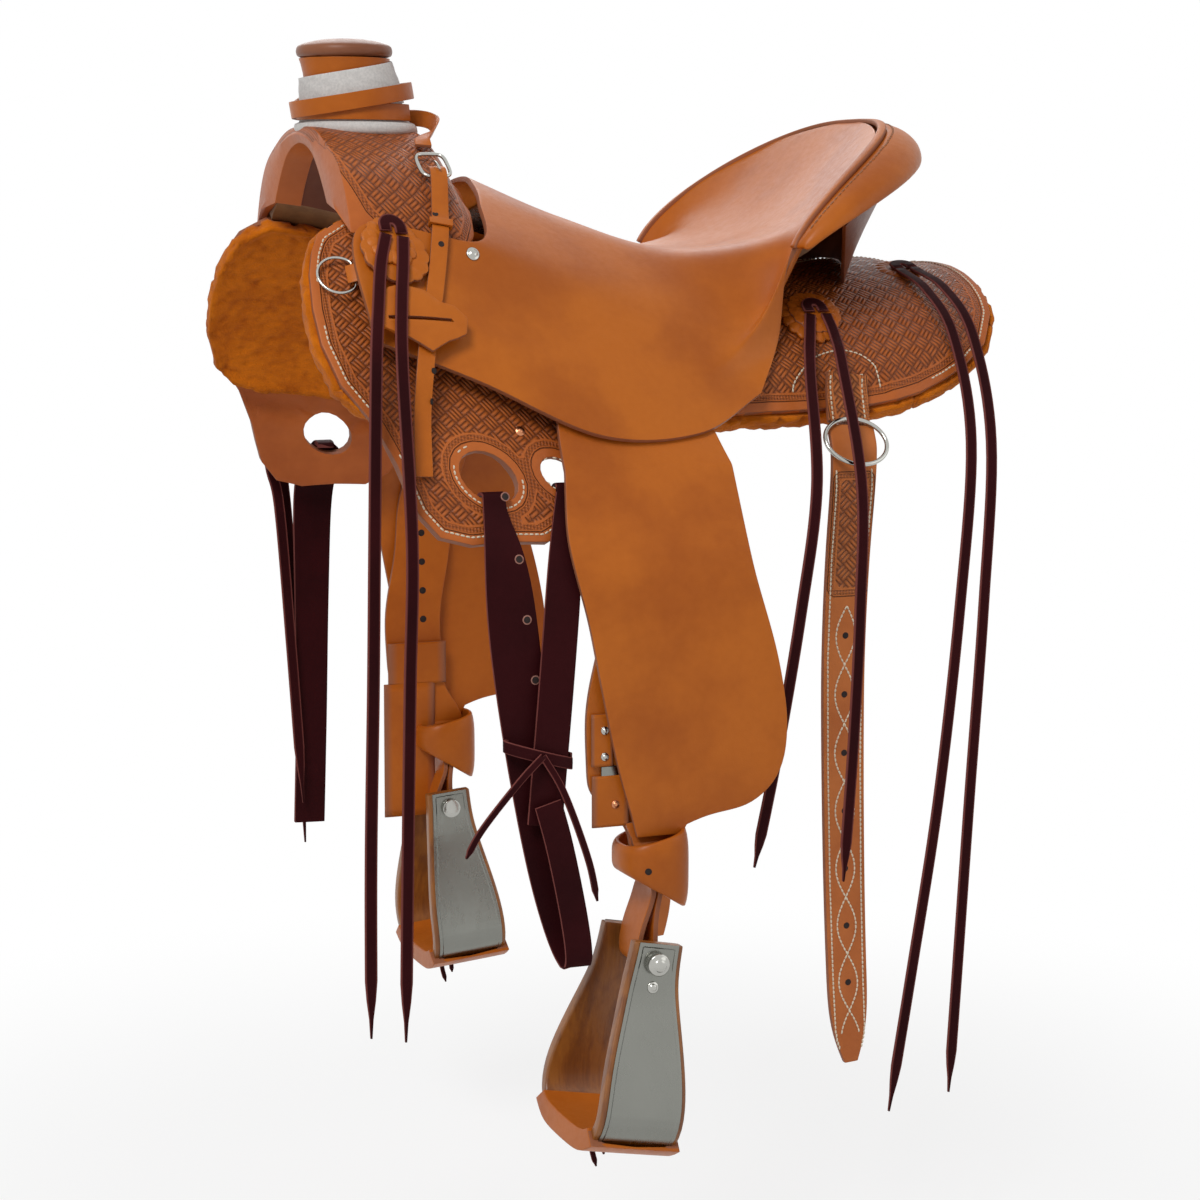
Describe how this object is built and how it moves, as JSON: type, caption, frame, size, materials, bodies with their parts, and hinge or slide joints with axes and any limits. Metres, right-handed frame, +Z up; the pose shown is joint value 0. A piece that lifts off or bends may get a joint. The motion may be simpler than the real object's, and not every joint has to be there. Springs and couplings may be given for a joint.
{
  "type": "wade saddle",
  "caption": "Western wade saddle with wrapped post horn, basket-stamped skirts, fleece lining, flank billets, latigos and bound wooden stirrups on swinging fenders.",
  "frame": {"origin": "middle of the horse's back or rack that carries the saddle, below the seat, in the saddle's middle plane", "axes": "+Z up, -X towards the horn and the horse's head, -Y the near (left) side"},
  "size_m": [0.689, 0.7062, 0.9891],
  "materials": {
    "smooth_leather": "oiled russet skirting leather, satin",
    "tooled_leather": "basket-stamped leather, satin",
    "dark_leather": "dark brown leather",
    "latigo_leather": "burgundy latigo leather",
    "mulehide": "pale chrome-tanned suede",
    "fleece": "golden wool fleece",
    "rawhide_wood": "wood under rawhide",
    "stirrup_wood": "oiled laminated wood",
    "plated_metal": "satin nickel-coloured metal"
  },
  "bodies": {
    "saddle": {"tree_fork": "rawhide_wood", "tree_bar_left": "rawhide_wood", "tree_bar_right": "rawhide_wood", "tree_cantle": "rawhide_wood", "horn_neck": "smooth_leather", "horn_strap_loop": "smooth_leather", "horn_strap_tail": "smooth_leather", "horn_strap_keeper": "smooth_leather", "seat_leather": "smooth_leather", "cheyenne_roll": "smooth_leather", "front_rosette_left": "smooth_leather", "front_rosette_right": "smooth_leather", "seat_rosette_left": "smooth_leather", "seat_rosette_right": "smooth_leather", "latigo_carrier": "smooth_leather", "dee_tab_left": "smooth_leather", "dee_tab_right": "smooth_leather", "leather_hanger_left": "smooth_leather", "leather_hanger_right": "smooth_leather", "fork_cover": "tooled_leather", "skirt_left": "tooled_leather", "skirt_right": "tooled_leather", "flank_strap_top_left": "tooled_leather", "flank_strap_top_right": "tooled_leather", "gullet_liner": "dark_leather", "horn_cap": "dark_leather", "cantle_back": "dark_leather", "front_string_left": "latigo_leather", "front_string_right": "latigo_leather", "seat_string_left": "latigo_leather", "back_string_left": "latigo_leather", "horn_wrap": "mulehide", "fleece_left": "fleece", "fleece_right": "fleece", "ground_seat": "plated_metal", "horn_strap_buckle": "plated_metal"},
    "buckle_tongue": {"horn_strap_tongue": "plated_metal"},
    "leathers_left": {"fender_left": "smooth_leather", "stirrup_leather_left": "smooth_leather", "hobble_strap_left": "smooth_leather"},
    "leathers_right": {"fender_right": "smooth_leather", "stirrup_leather_right": "smooth_leather", "hobble_strap_right": "smooth_leather"},
    "stirrup_left": {"stirrup_wood_left": "stirrup_wood", "stirrup_binding_left": "plated_metal", "stirrup_bolt_left": "plated_metal", "stirrup_tread_left": "smooth_leather"},
    "stirrup_right": {"stirrup_wood_right": "stirrup_wood", "stirrup_binding_right": "plated_metal", "stirrup_bolt_right": "plated_metal", "stirrup_tread_right": "smooth_leather"},
    "flank_billet_left": {"flank_billet_left": "tooled_leather"},
    "flank_billet_right": {"flank_billet_right": "tooled_leather"},
    "flank_ring_left": {"flank_dee_left": "plated_metal"},
    "flank_ring_right": {"flank_dee_right": "plated_metal"},
    "front_ring_left": {"front_dee_left": "plated_metal"},
    "front_ring_right": {"front_dee_right": "plated_metal"},
    "near_latigo": {"latigo_left": "latigo_leather"},
    "near_latigo_end": {"latigo_end_left": "latigo_leather"},
    "off_billet": {"off_billet": "latigo_leather"}
  },
  "joints": [
    {"name": "leathers_left_swing", "type": "hinge", "parent": "saddle", "child": "leathers_left", "pos_m": [-0.0603, -0.25963, -0.07699], "axis": [-1, 0, 0], "range_deg": [0, 50]},
    {"name": "leathers_right_swing", "type": "hinge", "parent": "saddle", "child": "leathers_right", "pos_m": [-0.0603, 0.25963, -0.07699], "axis": [1, 0, 0], "range_deg": [0, 50]},
    {"name": "stirrup_left_pivot", "type": "hinge", "parent": "leathers_left", "child": "stirrup_left", "pos_m": [-0.0743, -0.28, -0.498], "axis": [0, 1, 0], "range_deg": [-35, 35]},
    {"name": "stirrup_right_pivot", "type": "hinge", "parent": "leathers_right", "child": "stirrup_right", "pos_m": [-0.0743, 0.28, -0.48], "axis": [0, 1, 0], "range_deg": [-35, 35]},
    {"name": "flank_billet_left_swing", "type": "hinge", "parent": "saddle", "child": "flank_billet_left", "pos_m": [0.15782, -0.21733, -0.04472], "axis": [-1, 0, 0], "range_deg": [0, 50], "deforming": ["seat_string_left"]},
    {"name": "flank_billet_right_swing", "type": "hinge", "parent": "saddle", "child": "flank_billet_right", "pos_m": [0.15782, 0.21733, -0.04472], "axis": [1, 0, 0], "range_deg": [0, 50]},
    {"name": "flank_ring_left_flip", "type": "hinge", "parent": "flank_billet_left", "child": "flank_ring_left", "pos_m": [0.15782, -0.21733, -0.04472], "axis": [-1, 0, 0], "range_deg": [0, 60], "deforming": ["seat_string_left"]},
    {"name": "flank_ring_right_flip", "type": "hinge", "parent": "flank_billet_right", "child": "flank_ring_right", "pos_m": [0.15782, 0.21733, -0.04472], "axis": [1, 0, 0], "range_deg": [0, 60]},
    {"name": "front_ring_left_flip", "type": "hinge", "parent": "saddle", "child": "front_ring_left", "pos_m": [-0.2925, -0.17362, 0.08725], "axis": [0, 0.6533, 0.7571], "range_deg": [0, 40]},
    {"name": "front_ring_right_flip", "type": "hinge", "parent": "saddle", "child": "front_ring_right", "pos_m": [-0.2925, 0.17362, 0.08725], "axis": [0, 0.6533, -0.7571], "range_deg": [0, 40]},
    {"name": "near_latigo_swing", "type": "hinge", "parent": "saddle", "child": "near_latigo", "pos_m": [-0.2, -0.25099, -0.09655], "axis": [0, 0.9302, -0.367], "range_deg": [0, 5.5]},
    {"name": "near_latigo_end_swing", "type": "hinge", "parent": "saddle", "child": "near_latigo_end", "pos_m": [-0.135, -0.24617, -0.09202], "axis": [0, 0.9302, -0.367], "range_deg": [0, 5.5]},
    {"name": "off_billet_swing", "type": "hinge", "parent": "saddle", "child": "off_billet", "pos_m": [-0.2, 0.25099, -0.09655], "axis": [1, 0, 0], "range_deg": [0, 35], "deforming": ["front_string_right"]},
    {"name": "buckle_tongue_lift", "type": "hinge", "parent": "saddle", "child": "buckle_tongue", "pos_m": [-0.203, -0.11999, 0.18368], "axis": [-1, 0, 0], "range_deg": [0, 60]}
  ],
  "couplings": [
    {"joint": "near_latigo_end_swing", "follows": "near_latigo_swing", "ratio": 1}
  ]
}
